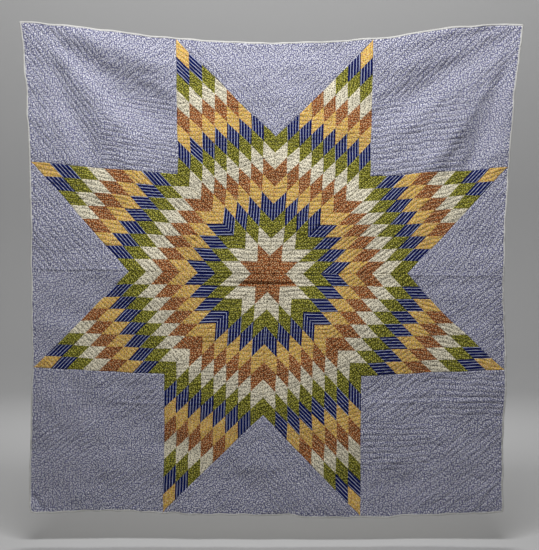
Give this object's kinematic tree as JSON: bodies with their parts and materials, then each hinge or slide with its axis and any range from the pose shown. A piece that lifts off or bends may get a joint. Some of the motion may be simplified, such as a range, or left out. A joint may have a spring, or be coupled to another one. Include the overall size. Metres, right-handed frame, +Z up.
{
  "type": "star quilt blanket",
  "caption": "Square pieced quilt blanket with one large star of small diamonds on a lavender ground, bound in white, hanging by its top edge.",
  "frame": {"origin": "middle of the top edge as it hangs", "axes": "+Z up, +X to the viewer's right along the top edge, the pieced front faces -Y"},
  "size_m": [2.115, 0.0553, 2.0873],
  "materials": {
    "star_point": "pieced printed cottons in rust, cream, green, navy stripe and gold, hand quilted",
    "ground_square": "soft lavender cotton with a fine white and blue print, hand quilted",
    "ground_triangle": "soft lavender cotton with a fine white and blue print, hand quilted",
    "binding": "plain off-white cotton, folded over the edge and sewn down"
  },
  "bodies": {
    "root": {"star_point_right_upper": "star_point", "star_point_top_right": "star_point", "star_point_top_left": "star_point", "star_point_left_upper": "star_point", "star_point_left_lower": "star_point", "star_point_bottom_left": "star_point", "star_point_bottom_right": "star_point", "star_point_right_lower": "star_point", "corner_square_top_right": "ground_square", "corner_square_top_left": "ground_square", "corner_square_bottom_left": "ground_square", "corner_square_bottom_right": "ground_square", "side_triangle_right": "ground_triangle", "side_triangle_top": "ground_triangle", "side_triangle_left": "ground_triangle", "side_triangle_bottom": "ground_triangle", "binding_top": "binding", "binding_bottom": "binding", "binding_left": "binding", "binding_right": "binding"}
  },
  "joints": []
}
